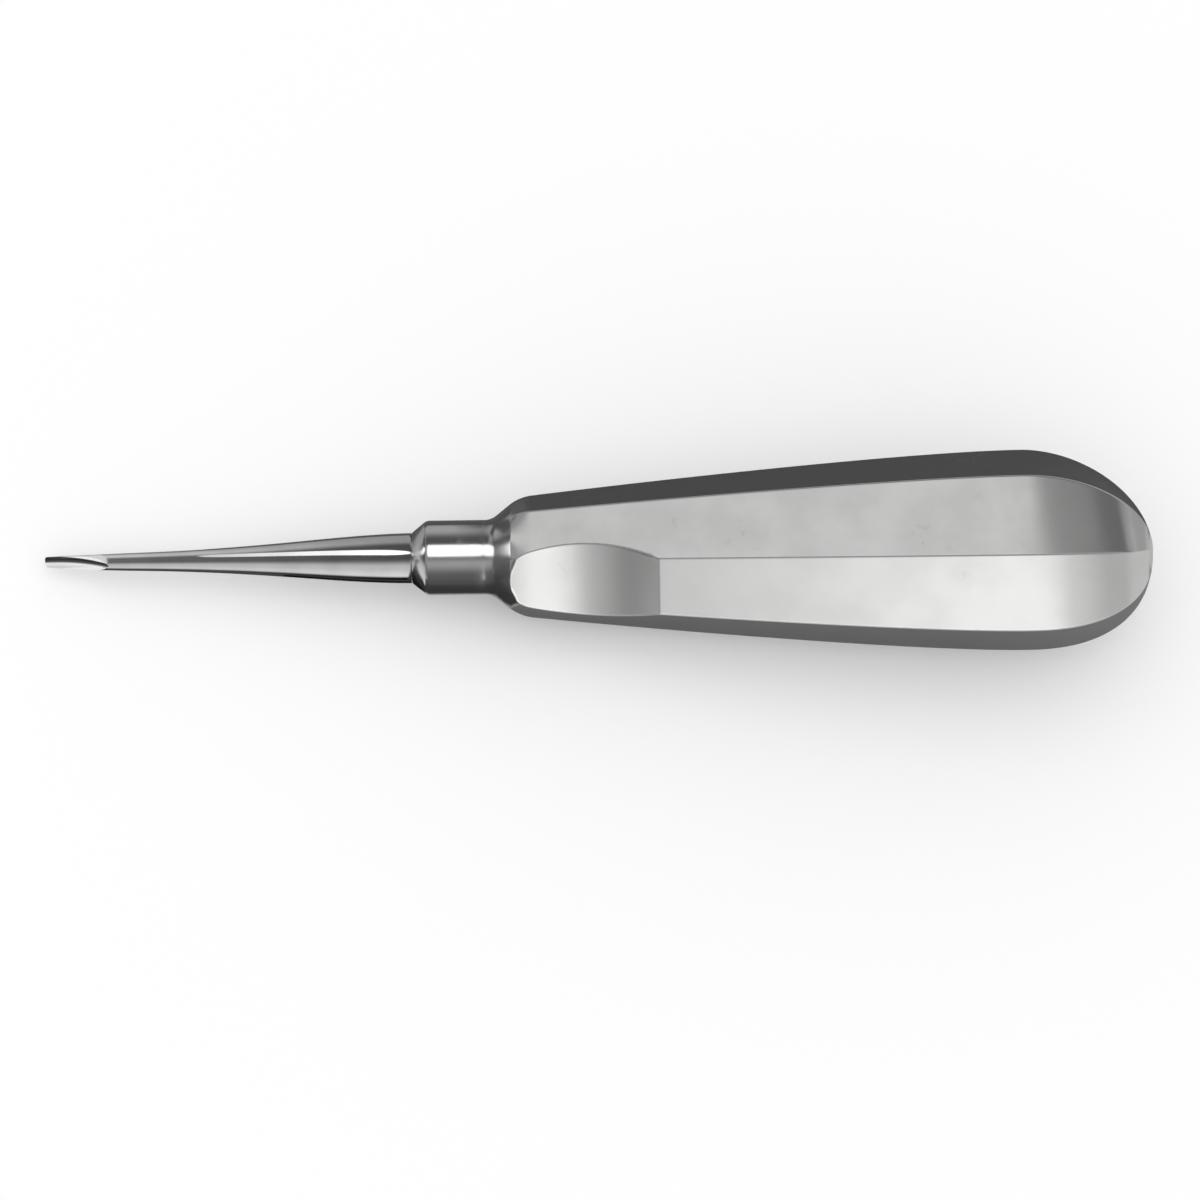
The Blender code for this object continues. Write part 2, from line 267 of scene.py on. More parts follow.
def blankProfile():
    # Station and radius of every row: those in the bore and its rim, then the outer skin
    h = handleSizes
    mouth = Vector((0.0, h["collarRadius"] - h["mouthChamfer"]))
    collarStart = Vector((h["mouthChamferLength"], h["collarRadius"]))
    collarEnd = Vector((h["collarLength"], h["collarRadius"]))
    shoulder = Vector((h["shoulderStation"], h["shoulderRadius"]))
    bodyPull = shoulder + Vector((1.0, h["bodySlope"])) * h["bodyPull"]
    widest = Vector((h["gripStation"], h["gripRadius"]))
    gripPull = widest - Vector((h["gripPull"], 0.0))
    lip = 0.05 * mm

    bore = [Vector((h["boreDepth"], h["boreRadius"])), Vector((lip, h["boreRadius"]))]
    rim = [Vector((0.0, h["boreRadius"] + lip))]
    outer = [mouth - Vector((0.0, lip)), mouth + Vector((lip, lip))]
    outer += roundedCorner(mouth, collarStart, collarEnd, h["mouthRound"], rowPlan["smallArc"])
    collarFrom, collarShare = 0.12, 0.72    # the stretch between the collar's round corners
    for step in range(1, rowPlan["collar"]):
        share = collarFrom + collarShare * step / rowPlan["collar"]
        outer.append(collarStart.lerp(collarEnd, share))
    outer += roundedCorner(collarStart, collarEnd, shoulder, h["coveRadius"], rowPlan["smallArc"])
    turning = roundedCorner(collarEnd, shoulder, bodyPull, h["shoulderRound"],
                            rowPlan["shoulderArc"])
    for before, after in zip(turning, turning[1:]):
        outer.append(before)
        low, high = squareness(before), squareness(after)
        if low < 0 < high:
            outer.append(before.lerp(after, low / (low - high)))
    outer.append(turning[-1])

    # Along the grip, with close rows under the thumb rest and at its far edge
    facetHeight = h["gripRadius"] * 0.68    # about where the wheel leaves the facet
    rise = facetHeight - h["thumbFloor"]
    reach = math.sqrt(h["thumbWheelRadius"]**2 - (h["thumbWheelRadius"] - rise)**2)
    edge = h["thumbStation"] + reach
    firstGap, nearEdge = 0.15 * mm, 0.9 * mm
    stations = evenly(outer[-1].x + firstGap, edge - nearEdge, rowPlan["thumbRest"])
    stations += evenly(edge - nearEdge, edge + nearEdge, rowPlan["thumbEdge"])
    stations += evenly(edge + nearEdge, h["gripStation"], rowPlan["grip"])
    for station in stations:
        low, high = 0.0, 1.0
        while high - low > 1e-6:
            middle = (low + high) / 2
            if bezierPoint(shoulder, bodyPull, gripPull, widest, middle).x < station:
                low = middle
            else:
                high = middle
        outer.append(bezierPoint(shoulder, bodyPull, gripPull, widest, high))

    # The palm end stays a straight bar here, the node tree rounds it
    for step in range(rowPlan["palm"]):
        share = math.sin(math.pi / 2 * step / rowPlan["palm"])
        outer.append(Vector((h["gripStation"] + h["palmLength"] * share, h["gripRadius"])))
    return bore + rim, outer


def makeBlank():
    inner, outer = blankProfile()
    angles = blankAngles()
    shell = bmesh.new()
    skin = shell.verts.layers.float.new("skin")
    rows = []
    for spot in inner + outer:
        row = []
        for angle in angles:
            x, y = spot.y * math.cos(angle), spot.y * math.sin(angle)
            row.append(shell.verts.new((x, y, -spot.x)))
            row[-1][skin] = 0.0 if spot in inner else 1.0
        rows.append(row)
    floor = shell.verts.new((0, 0, -handleSizes["boreDepth"]))
    pole = shell.verts.new((0, 0, -handleSizes["gripStation"] - handleSizes["palmLength"]))
    count = len(angles)
    for i in range(count):
        j = (i + 1) % count
        shell.faces.new((rows[0][i], floor, rows[0][j]))
        for upper, lower in zip(rows, rows[1:]):
            shell.faces.new((upper[i], upper[j], lower[j], lower[i]))
        shell.faces.new((rows[-1][i], rows[-1][j], pole))
    bmesh.ops.recalc_face_normals(shell, faces=shell.faces)
    mesh = bpy.data.meshes.new("handleBlank")
    shell.to_mesh(mesh)
    shell.free()
    return link("handleBlank", mesh)


def ridgeReachGroup():
    # Radius of one ridge as a share of the grip's, along the rounded palm end
    tree, entry, leave = newGroup("ridgeReach", "GeometryNodeTree", [
        ("Share", "NodeSocketFloat", 0.0),
        ("Ridge Angle", "NodeSocketFloat", 0.0),
        ("Palm Fullness", "NodeSocketFloat", 2.0),
        ("Palm Bias", "NodeSocketFloat", 0.0),
    ], [("Reach", "NodeSocketFloat")])
    lean = calc(tree, "MULTIPLY", calc(tree, "SINE", entry["Ridge Angle"]), entry["Palm Bias"])
    fullness = calc(tree, "SUBTRACT", entry["Palm Fullness"], lean)
    left = calc(tree, "SUBTRACT", 1.0, calc(tree, "POWER", entry["Share"], fullness))
    reach = calc(tree, "POWER", left, calc(tree, "DIVIDE", 1.0, fullness))
    tree.links.new(reach, leave["Reach"])
    return tree


def facetReachGroup():
    # Distance from the axis to the flat between two ridges, in the direction of an angle
    tree, entry, leave = newGroup("facetReach", "GeometryNodeTree", [
        ("Angle", "NodeSocketFloat", 0.0),
        ("First Angle", "NodeSocketFloat", 0.0),
        ("Last Angle", "NodeSocketFloat", 1.0),
        ("First Reach", "NodeSocketFloat", 1.0),
        ("Last Reach", "NodeSocketFloat", 1.0),
    ], [("Reach", "NodeSocketFloat")])
    fromFirst = calc(tree, "SINE", calc(tree, "SUBTRACT", entry["Angle"], entry["First Angle"]))
    toLast = calc(tree, "SINE", calc(tree, "SUBTRACT", entry["Last Angle"], entry["Angle"]))
    span = calc(tree, "SINE", calc(tree, "SUBTRACT", entry["Last Angle"], entry["First Angle"]))
    near = calc(tree, "DIVIDE", fromFirst, entry["Last Reach"])
    far = calc(tree, "DIVIDE", toLast, entry["First Reach"])
    inverse = calc(tree, "DIVIDE", calc(tree, "ADD", near, far), span)
    reach = calc(tree, "DIVIDE", 1.0, calc(tree, "MAXIMUM", inverse, 0.1))
    tree.links.new(reach, leave["Reach"])
    return tree


def grindTree():
    tree, entry, leave = newGroup("grindHandle", "GeometryNodeTree", [
        ("Geometry", "NodeSocketGeometry", None),
        ("Grip Station", "NodeSocketFloat", 0.0),
        ("Palm Length", "NodeSocketFloat", 1.0),
        ("Palm Fullness", "NodeSocketFloat", 2.0),
        ("Palm Bias", "NodeSocketFloat", 0.0),
        ("Shoulder Station", "NodeSocketFloat", 0.0),
        ("Shoulder Radius", "NodeSocketFloat", 1.0),
        ("Shoulder End", "NodeSocketFloat", 0.0),
        ("Body Slope", "NodeSocketFloat", 0.0),
        ("Wide Facet", "NodeSocketFloat", 1.0),
        ("Ridge Blend", "NodeSocketFloat", 0.0),
        ("Thumb Angle", "NodeSocketFloat", 0.0),
        ("Thumb Wheel Radius", "NodeSocketFloat", 1.0),
        ("Thumb Floor", "NodeSocketFloat", 1.0),
        ("Thumb Station", "NodeSocketFloat", 0.0),
        ("Thumb Blend", "NodeSocketFloat", 0.0),
        ("Material", "NodeSocketMaterial", None),
    ], [("Geometry", "NodeSocketGeometry")])
    place = addNode(tree, "ShaderNodeSeparateXYZ")
    feed(tree, place.inputs[0], addNode(tree, "GeometryNodeInputPosition").outputs[0])
    x, y, z = place.outputs
    angle = calc(tree, "ARCTAN2", y, x)
    station = calc(tree, "MULTIPLY", z, -1.0)
    squares = calc(tree, "ADD", calc(tree, "MULTIPLY", x, x), calc(tree, "MULTIPLY", y, y))
    blankRadius = calc(tree, "SQRT", squares)

    # Eight flats between the ridges, melted into each other where they meet
    beyond = calc(tree, "SUBTRACT", station, entry["Grip Station"])
    share = calc(tree, "DIVIDE", beyond, entry["Palm Length"])
    nearPole = 0.99995
    share = calc(tree, "MINIMUM", calc(tree, "MAXIMUM", share, 0.0), nearPole)
    ridgeReach = ridgeReachGroup()
    facetReach = facetReachGroup()
    ridges = ridgeAngles()
    reaches = []
    for ridge in ridges:
        reaches.append(useGroup(tree, "GeometryNodeGroup", ridgeReach, share=share,
                                ridgeAngle=ridge, palmFullness=entry["Palm Fullness"],
                                palmBias=entry["Palm Bias"])["Reach"])
    soft = hard = None
    for i, ridge in enumerate(ridges):
        j = (i + 1) % len(ridges)
        last = ridges[j] if j else 2 * math.pi
        flat = useGroup(tree, "GeometryNodeGroup", facetReach, angle=angle,
                        firstAngle=ridge, lastAngle=last,
                        firstReach=reaches[i], lastReach=reaches[j])["Reach"]
        flat = calc(tree, "MULTIPLY", flat, blankRadius)
        soft = flat if soft is None else calc(tree, "SMOOTH_MIN", soft, flat, entry["Ridge Blend"])
        hard = flat if hard is None else calc(tree, "MINIMUM", hard, flat)

    # Over the rounded shoulder the middle of a wide facet runs straight on to the flare
    apothem = calc(tree, "COSINE", calc(tree, "DIVIDE", entry["Wide Facet"], 2.0))
    onward = calc(tree, "SUBTRACT", station, entry["Shoulder Station"])
    line = calc(tree, "MULTIPLY_ADD", onward, entry["Body Slope"], entry["Shoulder Radius"])
    flatShare = calc(tree, "DIVIDE", calc(tree, "MULTIPLY", apothem, line), blankRadius)
    fade = calc(tree, "DIVIDE", calc(tree, "SUBTRACT", 1.0, flatShare),
                calc(tree, "SUBTRACT", 1.0, apothem))
    pastShoulder = calc(tree, "GREATER_THAN", station, entry["Shoulder End"])
    fade = calc(tree, "MAXIMUM", fade, pastShoulder, clamp=True)
    cutDepth = calc(tree, "MULTIPLY", calc(tree, "SUBTRACT", blankRadius, soft), fade)
    faceted = calc(tree, "SUBTRACT", blankRadius, cutDepth)

    # The thumb rest: a wheel whose rim dips into one wide facet
    away = calc(tree, "SUBTRACT", station, entry["Thumb Station"])
    wheelSquare = calc(tree, "MULTIPLY", entry["Thumb Wheel Radius"], entry["Thumb Wheel Radius"])
    left = calc(tree, "SUBTRACT", wheelSquare, calc(tree, "MULTIPLY", away, away))
    drop = calc(tree, "SQRT", calc(tree, "MAXIMUM", left, 0.0))
    centre = calc(tree, "ADD", entry["Thumb Floor"], entry["Thumb Wheel Radius"])
    height = calc(tree, "SUBTRACT", centre, drop)
    facing = calc(tree, "COSINE", calc(tree, "SUBTRACT", angle, entry["Thumb Angle"]))
    wheelReach = calc(tree, "DIVIDE", height, calc(tree, "MAXIMUM", facing, 0.1))
    ground = calc(tree, "SMOOTH_MIN", faceted, wheelReach, entry["Thumb Blend"])
    sharp = calc(tree, "MINIMUM", faceted, wheelReach)

    # Masks for the finish: worn ridges and the rim of the thumb rest, whose lighter colour also
    # paints a thin highlight along them, and the rest's floor
    wearAndHighlightGain, floorDepth = 6.0, 0.05 * mm
    ridgeWearAndHighlight = calc(tree, "DIVIDE", calc(tree, "SUBTRACT", hard, soft), entry["Ridge Blend"])
    ridgeWearAndHighlight = calc(tree, "MULTIPLY", calc(tree, "MULTIPLY", ridgeWearAndHighlight, wearAndHighlightGain), fade)
    thumb = remap(tree, calc(tree, "SUBTRACT", faceted, wheelReach), 0.0, floorDepth)
    ridgeWearAndHighlight = calc(tree, "MULTIPLY", ridgeWearAndHighlight, calc(tree, "SUBTRACT", 1.0, thumb))
    rimWearAndHighlight = calc(tree, "DIVIDE", calc(tree, "SUBTRACT", sharp, ground), entry["Thumb Blend"])
    rimWearAndHighlight = calc(tree, "MULTIPLY", rimWearAndHighlight, wearAndHighlightGain)
    wearAndHighlight = calc(tree, "MAXIMUM", ridgeWearAndHighlight, rimWearAndHighlight, clamp=True)

    direction = addNode(tree, "ShaderNodeCombineXYZ")
    feed(tree, direction.inputs[0], calc(tree, "MULTIPLY", calc(tree, "COSINE", angle), ground))
    feed(tree, direction.inputs[1], calc(tree, "MULTIPLY", calc(tree, "SINE", angle), ground))
    feed(tree, direction.inputs[2], z)
    skin = addNode(tree, "GeometryNodeInputNamedAttribute", data_type="FLOAT")
    skin.inputs["Name"].default_value = "skin"
    onSkin = addNode(tree, "FunctionNodeCompare", data_type="FLOAT", operation="GREATER_THAN")
    feed(tree, onSkin.inputs["A"], skin.outputs["Attribute"])
    feed(tree, onSkin.inputs["B"], 0.5)

    geometry = entry["Geometry"]
    for label, value in (("edgeWear", wearAndHighlight), ("thumbRest", thumb)):
        store = addNode(tree, "GeometryNodeStoreNamedAttribute", data_type="FLOAT", domain="POINT")
        store.inputs["Name"].default_value = label
        feed(tree, store.inputs["Geometry"], geometry)
        feed(tree, store.inputs["Selection"], onSkin.outputs[0])
        feed(tree, store.inputs["Value"], value)
        geometry = store.outputs[0]
    shift = addNode(tree, "GeometryNodeSetPosition")
    feed(tree, shift.inputs["Geometry"], geometry)
    feed(tree, shift.inputs["Selection"], onSkin.outputs[0])
    feed(tree, shift.inputs["Position"], direction.outputs[0])
    smooth = addNode(tree, "GeometryNodeSetShadeSmooth")
    feed(tree, smooth.inputs["Geometry"], shift.outputs[0])
    realize = addNode(tree, "GeometryNodeRealizeInstances")
    feed(tree, realize.inputs[0], smooth.outputs[0])
    paint = addNode(tree, "GeometryNodeSetMaterial")
    feed(tree, paint.inputs["Geometry"], realize.outputs[0])
    feed(tree, paint.inputs["Material"], entry["Material"])
    tree.links.new(paint.outputs[0], leave["Geometry"])
    return tree


def makeHandle(material):
    blank = makeBlank()
    grind = blank.modifiers.new("grind", "NODES")
    grind.node_group = grindTree()
    # Every input takes the size of the same name
    for item in grind.node_group.interface.items_tree:
        if item.in_out == "OUTPUT" or item.name == "Geometry":
            continue
        words = item.name.split(" ")
        key = words[0].lower() + "".join(words[1:])
        grind[item.identifier] = material if key == "material" else handleSizes[key]
    return plainMesh(blank, "handle_shell")


# The working end: a turned blade and shank with a ground flute

bladeSizes = {
    "shankLength": 46.7 * mm,
    "rootRadius": 3.17 * mm,
    "rootPull": 10.0 * mm,
    "rootSlope": 0.01,
    "bladeLength": 10.5 * mm,
    "bladeRootRadius": 1.12 * mm,
    "bladePull": 18.0 * mm,
    "bladeSlope": 0.02,
    "tipRadius": 0.75 * mm,
    "tipCorner": 0.45 * mm,
    "fluteRadius": 1.10 * mm,
    "fluteFloor": 0.45 * mm,
    "fluteStraight": 1.4 * mm,
    "fluteLiftRadius": 15.0 * mm,
    "fluteLiftAngle": 35 * degree,
    "lipWheelRadius": 14.0 * mm,
    "lipWheelSteps": 640,
    "lipStation": 2.6 * mm,
    "lipDepth": 0.06 * mm,
    "edgeThickness": 0.12 * mm,
    "bevelAngle": 12 * degree,
    "bevelLength": 2.5 * mm,
    "bevelRing": 3.0 * mm,
    "tangRadius": 2.6 * mm,
    "tangLength": 17.0 * mm,
    "tangChamfer": 0.6 * mm,
    "seatGap": 0.1 * mm,
    "turnSteps": 96,
    "tipSteps": 10,
    "bladeSteps": 12,
    "taperSteps": 48,
    "fluteSteps": 48,
    "sharpFrom": 24 * degree,
}


def turnedPiece(name, profile, closed):
    mesh = bpy.data.meshes.new(name)
    edges = [(i, i + 1) for i in range(len(profile) - 1)]
    if closed:
        edges.append((len(profile) - 1, 0))
    mesh.from_pydata([(p.x, 0.0, p.y) for p in profile], edges, [])
    item = link(name, mesh)
    screw = item.modifiers.new("turn", "SCREW")
    screw.axis = "Z"
    screw.steps = screw.render_steps = bladeSizes["turnSteps"]
    screw.use_merge_vertices = True
    screw.merge_threshold = 0.001 * mm
    screw.use_smooth_shade = True
    return item


def workingEndProfile():
    b = bladeSizes
    tip = Vector((0.0, b["shankLength"]))
    bladeRoot = Vector((b["bladeRootRadius"], b["shankLength"] - b["bladeLength"]))
    corner = Vector((b["tipRadius"], b["shankLength"]))
    root = Vector((b["rootRadius"], b["seatGap"]))
    bladePull = bladeRoot + Vector((b["bladeSlope"], -1.0)) * b["bladePull"]
    rootPull = root + Vector((-b["rootSlope"], 1.0)) * b["rootPull"]
    arc = roundedCorner(tip, corner, bladeRoot, b["tipCorner"], b["tipSteps"])
    points = [tip] + arc
    points += [arc[-1].lerp(bladeRoot, i / b["bladeSteps"]) for i in range(1, b["bladeSteps"])]
    points += [bezierPoint(bladeRoot, bladePull, rootPull, root, i / b["taperSteps"])
               for i in range(b["taperSteps"] + 1)]
    points.append(Vector((b["tangRadius"], b["seatGap"])))
    points.append(Vector((b["tangRadius"], b["tangChamfer"] - b["tangLength"])))
    points.append(Vector((b["tangRadius"] - b["tangChamfer"], -b["tangLength"])))
    points.append(Vector((0.0, -b["tangLength"])))
    return points


def fluteTool():
    # A round bar along the flute that lifts out of the blade on an arc
    b = bladeSizes
    height = b["fluteRadius"] - b["fluteFloor"]
    liftStart = b["shankLength"] - b["fluteStraight"]
    route = [Vector((height, b["shankLength"] + mm))]
    for step in range(b["fluteSteps"] + 1):
        angle = b["fluteLiftAngle"] * step / b["fluteSteps"]
        rise = b["fluteLiftRadius"] * (1 - math.cos(angle))
        route.append(Vector((height + rise, liftStart - b["fluteLiftRadius"] * math.sin(angle))))
    wayOut = Vector((math.sin(b["fluteLiftAngle"]), -math.cos(b["fluteLiftAngle"])))
    route.append(route[-1] + wayOut * (2 * b["fluteRadius"]))
    curve = bpy.data.curves.new("fluteTool", "CURVE")
    curve.dimensions = "3D"
    curve.bevel_depth = b["fluteRadius"]
    curve.bevel_resolution = 24
    curve.use_fill_caps = True
    spline = curve.splines.new("POLY")
    spline.points.add(len(route) - 1)
    for point, spot in zip(spline.points, route):
        point.co = (spot.x, 0.0, spot.y, 1.0)
    path = link("fluteTool", curve)
    path.rotation_euler = (0.0, 0.0, handleSizes["thumbAngle"])
    tool = plainMesh(path, "fluteTool")
    shell = bmesh.new()
    shell.from_mesh(tool.data)
    bmesh.ops.remove_doubles(shell, verts=shell.verts, dist=0.001 * mm)
    bmesh.ops.recalc_face_normals(shell, faces=shell.faces)
    shell.to_mesh(tool.data)
    shell.free()
    return tool


def lipWheel():
    # The small wheel's direction from the axis, its distance and its station
    b, angle = bladeSizes, handleSizes["thumbAngle"]
    away = Vector((math.cos(angle), math.sin(angle), 0.0))
    return away, b["lipWheelRadius"] - b["lipDepth"], b["shankLength"] - b["lipStation"]


def lipTool():
    # A small wheel that grinds the lip where the flute runs out
    b = bladeSizes
    bpy.ops.mesh.primitive_cylinder_add(vertices=b["lipWheelSteps"], radius=b["lipWheelRadius"],
                                        depth=4 * b["rootRadius"])
    tool = bpy.context.active_object
    away, lift, station = lipWheel()
    tool.location = away * lift + Vector((0, 0, station))
    tool.rotation_euler = (math.pi / 2, 0.0, handleSizes["thumbAngle"])
    return tool


def markLipHighlight(mesh):
    # 1 on the faces that the small wheel has ground, where the finish is rougher and a near-white,
    # nearly non-metal colour paints a highlight on the lip
    away, lift, station = lipWheel()
    radius, closeEnough = bladeSizes["lipWheelRadius"], 0.003 * mm
    marks = []
    for face in mesh.polygons:
        spots = [mesh.vertices[i].co for i in face.vertices] + [face.center]
        gaps = [math.hypot(spot.dot(away) - lift, spot.z - station) - radius for spot in spots]
        marks.append(1.0 if max(abs(gap) for gap in gaps) < closeEnough else 0.0)
    mesh.attributes.new("groundLip", "FLOAT", "FACE").data.foreach_set("value", marks)


def bevelTool():
    # A ring with a tapered hole, centred on the flute, that thins the edge from behind
    b = bladeSizes
    top, bottom = b["shankLength"] + mm, b["shankLength"] - b["bevelLength"]
    edge, slope = b["fluteRadius"] + b["edgeThickness"], math.tan(b["bevelAngle"])
    profile = [
        Vector((b["bevelRing"], top)),
        Vector((b["bevelRing"], bottom)),
        Vector((edge + (b["shankLength"] - bottom) * slope, bottom)),
        Vector((edge - mm * slope, top)),
    ]
    tool = turnedPiece("bevelTool", profile, closed=True)
    height, angle = b["fluteRadius"] - b["fluteFloor"], handleSizes["thumbAngle"]
    tool.location = (height * math.cos(angle), height * math.sin(angle), 0.0)
    return tool


def makeWorkingEnd(material):
    piece = turnedPiece("workingEndBlank", workingEndProfile(), closed=False)
    tools = [lipTool(), fluteTool(), bevelTool()]
    for tool in tools:
        grind = piece.modifiers.new("grind", "BOOLEAN")
        grind.operation = "DIFFERENCE"
        grind.solver = "EXACT"
        grind.object = tool
    piece = plainMesh(piece, "blade_and_shank")
    for tool in tools:
        bpy.data.objects.remove(tool, do_unlink=True)
    markLipHighlight(piece.data)
    piece.data.materials.clear()
    piece.data.materials.append(material)
    piece.data.shade_smooth()
    piece.data.set_sharp_from_angle(angle=bladeSizes["sharpFrom"])
    return piece


def layDown(pieces):
    # Turned onto the rest facet and set where the frame's own pieces are
    roll = Matrix.Rotation(-lie["restFacet"], 4, "Z")
    over = Matrix.Rotation(math.pi / 2 + lie["slope"], 4, "Y")
    about = Matrix.Rotation(math.pi, 4, "Z")
    turn = about @ over @ roll
    for piece in pieces:
        piece.data.transform(turn)
    spots = [vertex.co for piece in pieces for vertex in piece.data.vertices]
    low = Vector([min(spot[axis] for spot in spots) for axis in range(3)])
    high = Vector([max(spot[axis] for spot in spots) for axis in range(3)])
    cadLow, cadHigh = Vector(cadBox[0]), Vector(cadBox[1])
    shift = (cadLow + cadHigh - low - high) / 2
    shift.z = cadLow.z - low.z
    for piece in pieces:
        piece.data.transform(Matrix.Translation(shift))


# Finishes

noiseRange = 0.3, 0.7    # holds nearly all values of a noise texture


def grainGroup():
    # Fine polishing lines along the instrument, and the height that they leave
    tree, entry, leave = newGroup("polishGrain", "ShaderNodeTree", [
        ("Line Density", "NodeSocketFloat", 6000.0),
        ("Line Stretch", "NodeSocketFloat", 0.02),
        ("Detail", "NodeSocketFloat", 3.0),
    ], [("Lines", "NodeSocketFloat"), ("Height", "NodeSocketFloat")])
    place = addNode(tree, "ShaderNodeTexCoord").outputs["Object"]
    stretch = addNode(tree, "ShaderNodeCombineXYZ")
    alongLines = calc(tree, "MULTIPLY", entry["Line Density"], entry["Line Stretch"])
    feed(tree, stretch.inputs[0], alongLines)
    feed(tree, stretch.inputs[1], entry["Line Density"])
    feed(tree, stretch.inputs[2], entry["Line Density"])
    scaled = addNode(tree, "ShaderNodeVectorMath", operation="MULTIPLY")
    feed(tree, scaled.inputs[0], place)
    feed(tree, scaled.inputs[1], stretch.outputs[0])
    noise = addNode(tree, "ShaderNodeTexNoise")
    feed(tree, noise.inputs["Vector"], scaled.outputs[0])
    feed(tree, noise.inputs["Scale"], 1.0)
    feed(tree, noise.inputs["Detail"], entry["Detail"])
    lines = remap(tree, noise.outputs["Fac"], *noiseRange)
    tree.links.new(lines, leave["Lines"])
    tree.links.new(noise.outputs["Fac"], leave["Height"])
    return tree


def smudgeGroup():
    # Faint clouds and small dull marks left by handling and cleaning
    spotRange, patchRange = (0.60, 0.72), (0.52, 0.66)
    tree, entry, leave = newGroup("handlingMarks", "ShaderNodeTree", [
        ("Cloud Scale", "NodeSocketFloat", 160.0),
        ("Mark Scale", "NodeSocketFloat", 700.0),
        ("Mark Amount", "NodeSocketFloat", 0.3),
    ], [("Clouds", "NodeSocketFloat"), ("Marks", "NodeSocketFloat")])
    place = addNode(tree, "ShaderNodeTexCoord").outputs["Object"]
    clouds = addNode(tree, "ShaderNodeTexNoise")
    feed(tree, clouds.inputs["Vector"], place)
    feed(tree, clouds.inputs["Scale"], entry["Cloud Scale"])
    feed(tree, clouds.inputs["Detail"], 4.0)
    marks = addNode(tree, "ShaderNodeTexNoise")
    feed(tree, marks.inputs["Vector"], place)
    feed(tree, marks.inputs["Scale"], entry["Mark Scale"])
    feed(tree, marks.inputs["Detail"], 2.0)
    feed(tree, marks.inputs["Distortion"], 0.8)
    spots = remap(tree, marks.outputs["Fac"], *spotRange)
    patches = remap(tree, clouds.outputs["Fac"], *patchRange)
    spots = calc(tree, "MULTIPLY", calc(tree, "MULTIPLY", spots, patches), entry["Mark Amount"])
    tree.links.new(remap(tree, clouds.outputs["Fac"], *noiseRange), leave["Clouds"])
    tree.links.new(spots, leave["Marks"])
    return tree


def newSteel(name):
    material = bpy.data.materials.new(name)
    material.use_nodes = True
    tree = material.node_tree
    shader = tree.nodes["Principled BSDF"]
    shader.inputs["Metallic"].default_value = 1.0
    return material, tree, shader


def mixColour(tree, share, first, second):
    node = addNode(tree, "ShaderNodeMix", data_type="RGBA")
    feed(tree, node.inputs["Factor"], share)
    feed(tree, node.inputs[6], first)
    feed(tree, node.inputs[7], second)
    return node.outputs[2]


def steelSurface(tree, grain, smudge, look):
    # The lines, the marks and the clouded colour that both finishes start from
    lines = useGroup(tree, "ShaderNodeGroup", grain, lineDensity=look["lineDensity"],
                     lineStretch=look["lineStretch"], detail=3.0)
    marks = useGroup(tree, "ShaderNodeGroup", smudge, cloudScale=look["cloudScale"],
                     markScale=look["markScale"], markAmount=look["markAmount"])
    return lines, marks, mixColour(tree, marks["Clouds"], look["steel"], look["dull"])


def raiseLines(tree, shader, lines, look):
    bump = addNode(tree, "ShaderNodeBump")
    bump.inputs["Strength"].default_value = look["lineStrength"]
    bump.inputs["Distance"].default_value = look["lineHeight"]
    feed(tree, bump.inputs["Height"], lines["Height"])
    feed(tree, shader.inputs["Normal"], bump.outputs[0])


satinLook = {
    "steel": (0.62, 0.62, 0.615, 1.0),
    "dull": (0.58, 0.58, 0.575, 1.0),
    # Lighter colour of worn edges, which also paints a thin highlight along the ridges and the
    # thumb rest's rim
    "worn": (0.70, 0.70, 0.695, 1.0),
    "wornShare": 0.6,
    "roughness": 0.17,
    "roughnessSpread": 0.05,
    "markRoughness": 0.12,
    "lineRoughness": 0.02,
    "lineDensity": 9000.0,
    "lineStretch": 0.05,
    "lineStrength": 0.25,
    "lineHeight": 0.0006 * mm,
    "cloudScale": 150.0,
    "markScale": 650.0,
    "markAmount": 0.5,
}


def makeSatinSteel(grain, smudge):
    look = satinLook
    material, tree, shader = newSteel("satinHandleSteel")
    lines, marks, colour = steelSurface(tree, grain, smudge, look)
    # Ridges and the thumb rest's rim are worn, and their lighter colour also paints a thin
    # highlight along them
    wearAndHighlight = addNode(tree, "ShaderNodeAttribute", attribute_name="edgeWear").outputs["Fac"]
    wearAndHighlight = calc(tree, "MULTIPLY", wearAndHighlight, look["wornShare"])
    feed(tree, shader.inputs["Base Color"], mixColour(tree, wearAndHighlight, colour, look["worn"]))
    rough = remap(tree, marks["Clouds"], 0.0, 1.0, look["roughness"],
                  look["roughness"] + look["roughnessSpread"], smooth=False)
    for amount, share in ((marks["Marks"], "markRoughness"), (lines["Lines"], "lineRoughness")):
        rough = calc(tree, "ADD", rough, calc(tree, "MULTIPLY", amount, look[share]))
    feed(tree, shader.inputs["Roughness"], rough)
    raiseLines(tree, shader, lines, look)
    return material


polishLook = {
    "steel": (0.66, 0.66, 0.66, 1.0),
    "dull": (0.60, 0.60, 0.60, 1.0),
    # The ground lip's near-white colour and low metallic paint a bright highlight on it; its
    # roughness is the ground finish
    "groundLip": (0.93, 0.93, 0.93, 1.0),
    "lipRoughness": 0.45,
    "lipMetallic": 0.15,
    "roughness": 0.07,
    "roughnessSpread": 0.04,
    "markRoughness": 0.05,
    "lineDensity": 14000.0,
    "lineStretch": 0.03,
    "lineStrength": 0.2,
    "lineHeight": 0.0004 * mm,
    "cloudScale": 260.0,
    "markScale": 900.0,
    "markAmount": 0.2,
}


